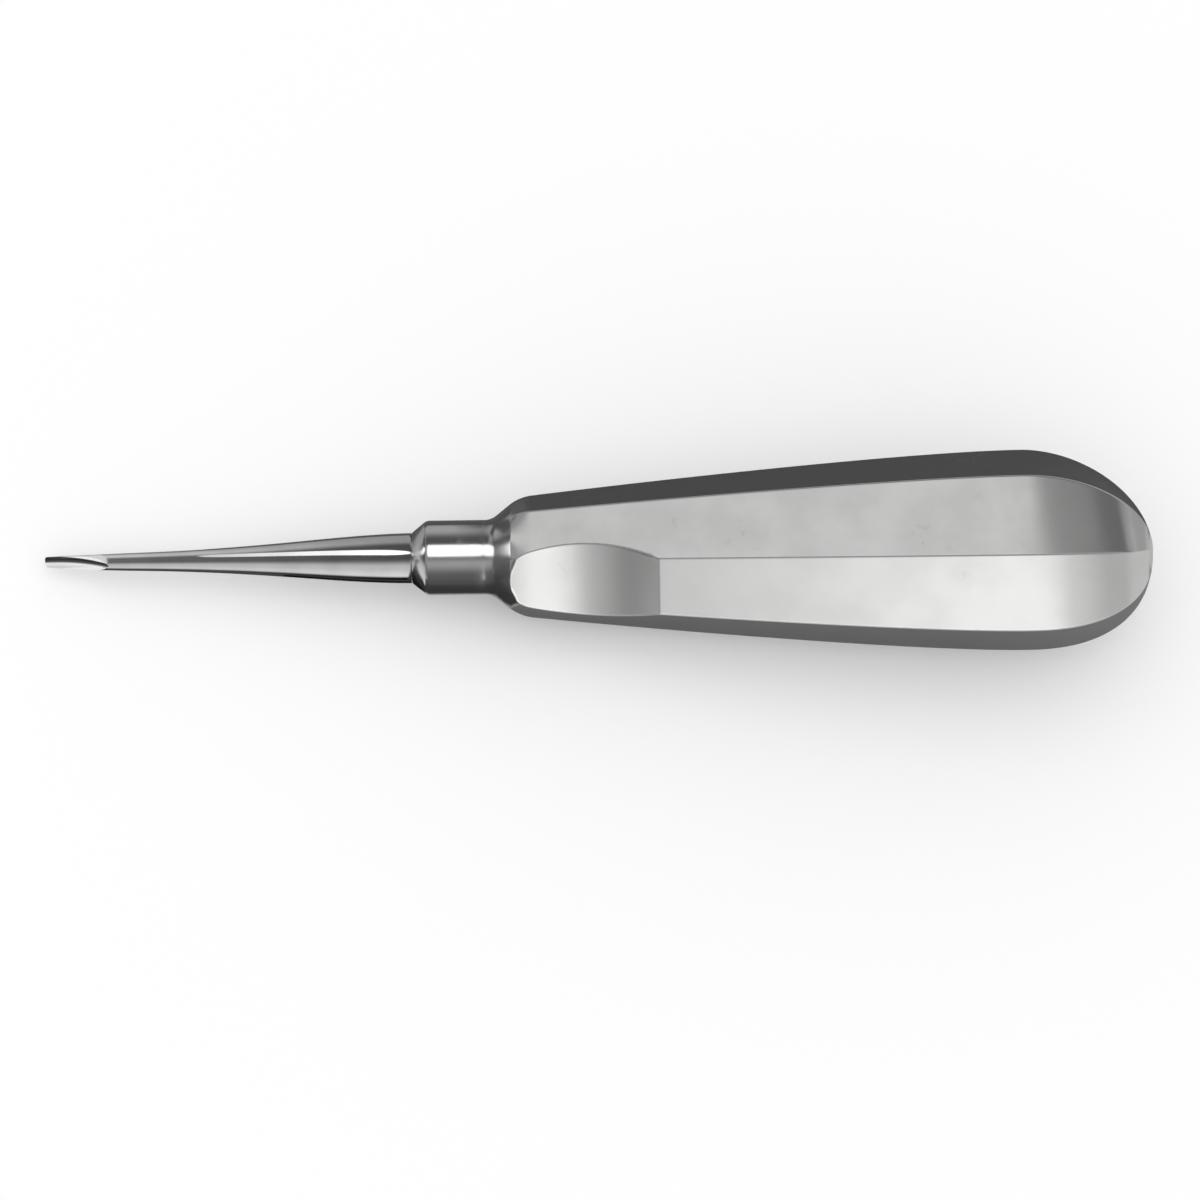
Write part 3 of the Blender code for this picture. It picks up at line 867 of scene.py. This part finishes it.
def makePolishedSteel(grain, smudge):
    look = polishLook
    material, tree, shader = newSteel("polishedShankSteel")
    lines, marks, colour = steelSurface(tree, grain, smudge, look)
    # The ground lip: a rougher ground finish, and a near-white, nearly non-metal colour that
    # paints a highlight on it
    lip = addNode(tree, "ShaderNodeAttribute", attribute_name="groundLip").outputs["Fac"]
    feed(tree, shader.inputs["Base Color"], mixColour(tree, lip, colour, look["groundLip"]))
    rough = remap(tree, lines["Lines"], 0.0, 1.0, look["roughness"],
                  look["roughness"] + look["roughnessSpread"], smooth=False)
    marked = calc(tree, "MULTIPLY", marks["Marks"], look["markRoughness"])
    rough = calc(tree, "ADD", rough, marked)
    rough = calc(tree, "MAXIMUM", rough, calc(tree, "MULTIPLY", lip, look["lipRoughness"]))
    feed(tree, shader.inputs["Roughness"], rough)
    metal = remap(tree, lip, 0.0, 1.0, 1.0, look["lipMetallic"], smooth=False)
    feed(tree, shader.inputs["Metallic"], metal)
    raiseLines(tree, shader, lines, look)
    return material


# Studio

collarFront = [(-95, 0.1), (-55, 0.15), (-18, 0.5), (0, 0.2), (10, 0.1), (41, 0.1)]
collarRear = [(41, 0.1), (60, 0.1), (90, 0.5), (119, 0.5)]

studio = {
    "floorColour": (0.92, 0.92, 0.92, 1.0),
    "floorLift": 0.08,
    "floorSize": 4.0,
    "floorLevel": -0.02 * mm,
    "firstCardLevel": -0.018 * mm,
    "cardStep": 0.0025 * mm,
    "domeRadius": 1.9,
    # Cards low on the table that only reflections see: x, y, width, depth, shade; those under the
    # instrument are dark as painted shade of the table beneath it
    "cards": {
        "cardAround": (0, 0, 3400, 3400, 0.64),
        "cardBesidePalm": (135, -27, 100, 66, 0.80),
        "cardBehindPalm": (170, 70, 180, 110, 0.48),
        "cardBehindGrip": (35, 110, 98, 200, 0.095),
        "cardBehindBlade": (-80.5, 106.5, 61, 207, 0.42),
        "cardBehindShank": (-31.5, 106.5, 37, 207, 0.14),
        "cardInFront": (-71, -40, 116, 69, 0.065),
        "cardUnderGrip": (36, -10, 96, 24, 0.27),
        "cardUnderBlade": (-72, -3, 19, 12, 0.04),
        "cardUnderTaper": (-51, -2, 23, 9, 0.10),
        "cardUnderShank": (-31.5, -1, 17, 9, 0.016),
    },
    # Height of the instrument's axis over the table at one place along it, in mm
    "axisPlace": -23.4,
    "axisHeight": 6.1,
    "tentRows": 40,
    # A tent of curved sheets and strip lights over the thin front half, in mm. Each has its
    # radius, the share of its length that its round ends take, and two places along the
    # table with the radius of the steel there. Its stops are (angle, level) across it at
    # both places, once where they are the same. Angles lie between what the eye sees and
    # its reflection, below zero towards the front.
    "tent": {
        "shankBase": (7.0, 0, (-65, 1.0), (-24.1, 3.2),
                      [(-120, 0.1), (-106, 0.2), (-84, 0.8), (-40, 0.7), (-5, 0.2), (40, 0.2),
                       (80, 0.9), (130, 0.5)],
                      [(-120, 0.0), (-106, 0.0), (-92, 1.0), (-40, 0.7), (-5, 0.1), (60, 0.1),
                       (85, 0.4), (130, 0.4)]),
        "shankBar": (6.7, 0.15, (-52, 1.2), (-24.0, 3.2),
                     [(34, 0.9), (62, 0.9)], [(12, 1.9), (36, 1.9)]),
        "collarBase": (11.5, 0, (-24.6, 4.7), (-18.4, 4.7), collarFront),
        "collarBaseEnd": (9.2, 0, (-18.6, 4.7), (-14.7, 4.7), collarFront),
        "collarBar": (9.0, 0.12, (-23.4, 4.7), (-14.7, 4.7), [(3, 1.9), (39, 1.9)]),
        "collarBack": (8.0, 0, (-24.4, 4.7), (-18.4, 4.7), collarRear),
        "collarBackEnd": (11.5, 0, (-18.8, 4.7), (-14.9, 4.7), collarRear,
                          [(41, 0.1), (60, 0.1), (90, 0.3), (119, 0.1)]),
        "flareBack": (11.6, 0, (-45, 4.7), (-18.9, 4.7), [(80, 0.1), (140, 0.1)]),
        "flareBackEnd": (11.7, 0, (-19, 4.7), (-14.9, 4.7), [(119, 0.1), (140, 0.1)]),
        "bladeBase": (6.9, 0, (-90, 0.3), (-63.5, 0.3),
                      [(-49, 0.5), (-24, 1.3), (14, 1.0), (130, 0.9)]),
        "neckBack": (24.0, 0, (-130, 0.0), (-48, 0.0), [(-80, 0.1), (50, 0.1), (180, 0.1)]),
    },
}


def band(tree, value, low, high, soft):
    # 1 between low and high, with soft edges outside them
    rise = remap(tree, value, low - soft, low)
    fall = remap(tree, value, high, high + soft, 1.0, 0.0)
    return calc(tree, "MULTIPLY", rise, fall)


def ramp(tree, value, stops):
    # A piecewise level over angles in degrees
    low, high = stops[0][0], stops[-1][0]
    node = addNode(tree, "ShaderNodeValToRGB")
    feed(tree, node.inputs[0], remap(tree, value, low, high, smooth=False))
    node.color_ramp.interpolation = "EASE"
    marks = node.color_ramp.elements
    while len(marks) < len(stops):
        marks.new(0.5)
    for mark, (angle, level) in zip(marks, stops):
        mark.position = (angle - low) / (high - low)
    for mark, (angle, level) in zip(marks, stops):
        mark.color = (level / 2, level / 2, level / 2, 1.0)
    return calc(tree, "MULTIPLY", node.outputs[0], 2.0)


def newGlow(name):
    # A black surface that only glows
    material = bpy.data.materials.new(name)
    material.use_nodes = True
    shader = material.node_tree.nodes["Principled BSDF"]
    shader.inputs["Base Color"].default_value = (0.0, 0.0, 0.0, 1.0)
    shader.inputs["Specular IOR Level"].default_value = 0.0
    shader.inputs["Emission Color"].default_value = (1.0, 1.0, 1.0, 1.0)
    return material, material.node_tree, shader.inputs["Emission Strength"]


# Light of the dome. The round angle is 0 in front, 90 overhead and 180 behind, the side
# angle grows towards the palm end. Bands have their first and last round angle and how
# soft they end, ramps their (side angle, level).
domeLight = {
    "front": [(-90, 0.1), (-60, 0.1), (-30, 0.25), (-15, 0.6),
              (0, 1.4), (10, 1.4), (25, 0.9), (60, 0.5), (90, 0.5)],
    "frontFade": (30, 55),
    "horizonFade": (2, 8),
    "horizonGain": 1.7,
    "overheadBand": (55, 96, 22),
    "overhead": 0.42,
    "backBand": (105, 124, 7),
    "back": [(-90, 0.1), (-60, 0.1), (-30, 0.4), (-15, 0.85),
             (0, 0.85), (15, 0.35), (90, 0.35)],
    "rearBand": (130, 150, 6),
    "rear": [(-90, 0.1), (-45, 0.4), (-20, 0.4), (0, 0.2), (90, 0.2)],
    "behindFade": (152, 165),
    "behind": 0.5,
    "tipFade": (-74, -54),
    "tipShare": 0.10,
}


def domePaint():
    # Bands of light by direction, for what the metal mirrors
    light = domeLight
    material, tree, glow = newGlow("studioDome")
    outward = addNode(tree, "ShaderNodeVectorMath", operation="NORMALIZE")
    feed(tree, outward.inputs[0], addNode(tree, "ShaderNodeTexCoord").outputs["Object"])
    place = addNode(tree, "ShaderNodeSeparateXYZ")
    feed(tree, place.inputs[0], outward.outputs[0])
    x, y, z = place.outputs
    toFront = calc(tree, "MULTIPLY", y, -1.0)
    roundAngle = calc(tree, "DIVIDE", calc(tree, "ARCTAN2", z, toFront), degree)
    sideAngle = calc(tree, "DIVIDE", calc(tree, "ARCSINE", x), degree)
    front = ramp(tree, sideAngle, light["front"])
    front = calc(tree, "MULTIPLY", front, remap(tree, roundAngle, *light["frontFade"], 1.0, 0.0))
    horizon = remap(tree, roundAngle, *light["horizonFade"], light["horizonGain"], 1.0)
    level = calc(tree, "MULTIPLY", front, horizon)
    tipDim = remap(tree, sideAngle, *light["tipFade"], light["tipShare"], 1.0)
    overhead = band(tree, roundAngle, *light["overheadBand"])
    overhead = calc(tree, "MULTIPLY", overhead, light["overhead"])
    level = calc(tree, "ADD", level, calc(tree, "MULTIPLY", overhead, tipDim))
    back = ramp(tree, sideAngle, light["back"])
    back = calc(tree, "MULTIPLY", back, band(tree, roundAngle, *light["backBand"]))
    level = calc(tree, "ADD", level, back)
    rear = ramp(tree, sideAngle, light["rear"])
    rear = calc(tree, "MULTIPLY", band(tree, roundAngle, *light["rearBand"]), rear)
    behind = remap(tree, roundAngle, *light["behindFade"])
    rear = calc(tree, "ADD", rear, calc(tree, "MULTIPLY", behind, light["behind"]))
    level = calc(tree, "ADD", level, calc(tree, "MULTIPLY", rear, tipDim))
    feed(tree, glow, level)
    return material


def lightStudio():
    world = bpy.data.worlds.new("studio")
    bpy.context.scene.world = world
    world.use_nodes = True
    background = world.node_tree.nodes["Background"]
    background.inputs["Color"].default_value = (1.0, 1.0, 1.0, 1.0)
    background.inputs["Strength"].default_value = 1.0


def onlyInReflections(item):
    item.visible_camera = False
    item.visible_diffuse = False
    item.visible_shadow = False
    item.visible_transmission = False


def mattePaint(name, colour, lift=0.0):
    # Matt paint; the lift whitens what the camera and the metal see of it, shadows stay
    material = bpy.data.materials.new(name)
    material.use_nodes = True
    tree = material.node_tree
    shader = tree.nodes["Principled BSDF"]
    shader.inputs["Base Color"].default_value = colour
    shader.inputs["Roughness"].default_value = 1.0
    shader.inputs["Specular IOR Level"].default_value = 0.0
    if lift:
        path = addNode(tree, "ShaderNodeLightPath").outputs
        direct = calc(tree, "MAXIMUM", path["Is Camera Ray"], path["Is Glossy Ray"])
        direct = calc(tree, "MAXIMUM", direct, path["Is Transmission Ray"])
        shader.inputs["Emission Color"].default_value = (1.0, 1.0, 1.0, 1.0)
        feed(tree, shader.inputs["Emission Strength"], calc(tree, "MULTIPLY", direct, lift))
    return material


def flatSheet(name, x, y, z, width, depth, material):
    mesh = bpy.data.meshes.new(name)
    w, d = width / 2, depth / 2
    mesh.from_pydata([(x - w, y - d, z), (x + w, y - d, z), (x + w, y + d, z), (x - w, y + d, z)],
                     [], [(0, 1, 2, 3)])
    mesh.materials.append(material)
    sheet = link(name, mesh)
    return sheet


def tentPaint():
    material, tree, glow = newGlow("reflectorGlow")
    feed(tree, glow, addNode(tree, "ShaderNodeAttribute", attribute_name="glow").outputs["Fac"])
    return material


def refined(stops):
    # More stops between those given, so that the sheet is round and its levels ease
    finer = []
    for (angle, level), (nextAngle, nextLevel) in zip(stops, stops[1:]):
        for share in (0.0, 0.25, 0.5, 0.75):
            ease = share * share * (3 - 2 * share)
            between = angle + (nextAngle - angle) * share
            finer.append((between, level + (nextLevel - level) * ease))
    return finer + [stops[-1]]


def addSheet(tent, radius, ends, places, stops):
    # Each angle is traced from the round steel to the place that it reflects on the sheet
    sideways = math.cos(view["elevation"]) * math.cos(view["azimuth"])
    eye = math.atan2(math.sin(view["elevation"]), sideways)
    spots, levels, faces = tent
    begin, rows = len(spots), studio["tentRows"]
    leastWidth, leastHeight = 0.05, 0.1
    for i in range(rows + 1):
        share = i / rows
        x = places[0][0] + (places[1][0] - places[0][0]) * share
        steel = places[0][1] + (places[1][1] - places[0][1]) * share
        height = studio["axisHeight"] + (x - studio["axisPlace"]) * math.tan(lie["slope"])
        middles = [(side[0][0] + side[-1][0]) / 2 for side in stops]
        middle = middles[0] + (middles[1] - middles[0]) * share
        nearEnd = max(0.0, 1 - min(share, 1 - share) / ends) if ends else 0.0
        width = max(math.sqrt(1 - nearEnd**2), leastWidth)
        for (angle, level), (nextAngle, nextLevel) in zip(*stops):
            angle = middle + (angle + (nextAngle - angle) * share - middle) * width
            normal, onward = eye + angle * degree / 2, eye + angle * degree
            start = Vector((-math.cos(normal), math.sin(normal))) * steel
            ray = Vector((-math.cos(onward), math.sin(onward)))
            along = start.dot(ray)
            length = math.sqrt(along**2 + radius**2 - steel**2) - along
            y, z = start + ray * length
            spots.append((x * mm, y * mm, max(z + height, leastHeight) * mm))
            levels.append(level + (nextLevel - level) * share)
    count = len(stops[0])
    for i in range(rows):
        for j in range(count - 1):
            first = begin + i * count + j
            faces.append((first, first + 1, first + count + 1, first + count))


def buildTent():
    # A backdrop over the thin front half that only reflections see
    spots, levels, faces = tent = [], [], []
    for radius, ends, first, second, *stops in studio["tent"].values():
        finer = [refined(side) for side in (stops[0], stops[-1])]
        addSheet(tent, radius, ends, (first, second), finer)
    mesh = bpy.data.meshes.new("lightTent")
    mesh.from_pydata(spots, [], faces)
    mesh.attributes.new("glow", "FLOAT", "POINT").data.foreach_set("value", levels)
    mesh.materials.append(tentPaint())
    tentObject = link("lightTent", mesh)
    onlyInReflections(tentObject)


def buildStage():
    paint = mattePaint("floor", studio["floorColour"], studio["floorLift"])
    side = studio["floorSize"]
    flatSheet("floor", 0, 0, studio["floorLevel"], side, side, paint)
    level = studio["firstCardLevel"]
    for name, (x, y, width, depth, shade) in studio["cards"].items():
        card = flatSheet(name, x * mm, y * mm, level, width * mm, depth * mm,
                         mattePaint(name, (shade, shade, shade, 1.0)))
        level += studio["cardStep"]
        onlyInReflections(card)
    ball = bmesh.new()
    bmesh.ops.create_uvsphere(ball, u_segments=32, v_segments=16, radius=studio["domeRadius"])
    mesh = bpy.data.meshes.new("studioDome")
    ball.to_mesh(mesh)
    ball.free()
    mesh.materials.append(domePaint())
    dome = link("studioDome", mesh)
    onlyInReflections(dome)
    buildTent()


view = {
    "azimuth": -9.06 * degree,
    "elevation": 68.2 * degree,
    "roll": 9.34 * degree,
    "lens": 150.0,
    "sensorWidth": 36.0,
    "frameWidth": 150.8 * mm,
    "aim": (0.09 * mm, -6.83 * mm, 10.0 * mm),
}


def placeCamera():
    data = bpy.data.cameras.new("camera")
    data.lens = view["lens"]
    data.sensor_width = view["sensorWidth"]
    data.clip_start = 10 * mm
    camera = link("camera", data)
    a, e = view["azimuth"], view["elevation"]
    away = Vector((math.sin(a) * math.cos(e), -math.cos(a) * math.cos(e), math.sin(e)))
    distance = view["frameWidth"] * view["lens"] / view["sensorWidth"]
    camera.location = Vector(view["aim"]) + away * distance
    turn = (-away).to_track_quat("-Z", "Y").to_matrix() @ Matrix.Rotation(view["roll"], 3, "Z")
    camera.rotation_euler = turn.to_euler()
    bpy.context.scene.camera = camera


grain = grainGroup()
smudge = smudgeGroup()
satinSteel = makeSatinSteel(grain, smudge)
polishedSteel = makePolishedSteel(grain, smudge)
print("finishes made")

handle = makeHandle(satinSteel)
print("handle ground:", len(handle.data.polygons), "faces")
workingEnd = makeWorkingEnd(polishedSteel)
print("working end ground:", len(workingEnd.data.polygons), "faces")
layDown([handle, workingEnd])

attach(handle, "root")
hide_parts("handle")
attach(workingEnd, "root")
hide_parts("working_end")

lightStudio()
buildStage()
placeCamera()
bpy.context.scene.view_settings.view_transform = "Standard"
print("studio and camera set")
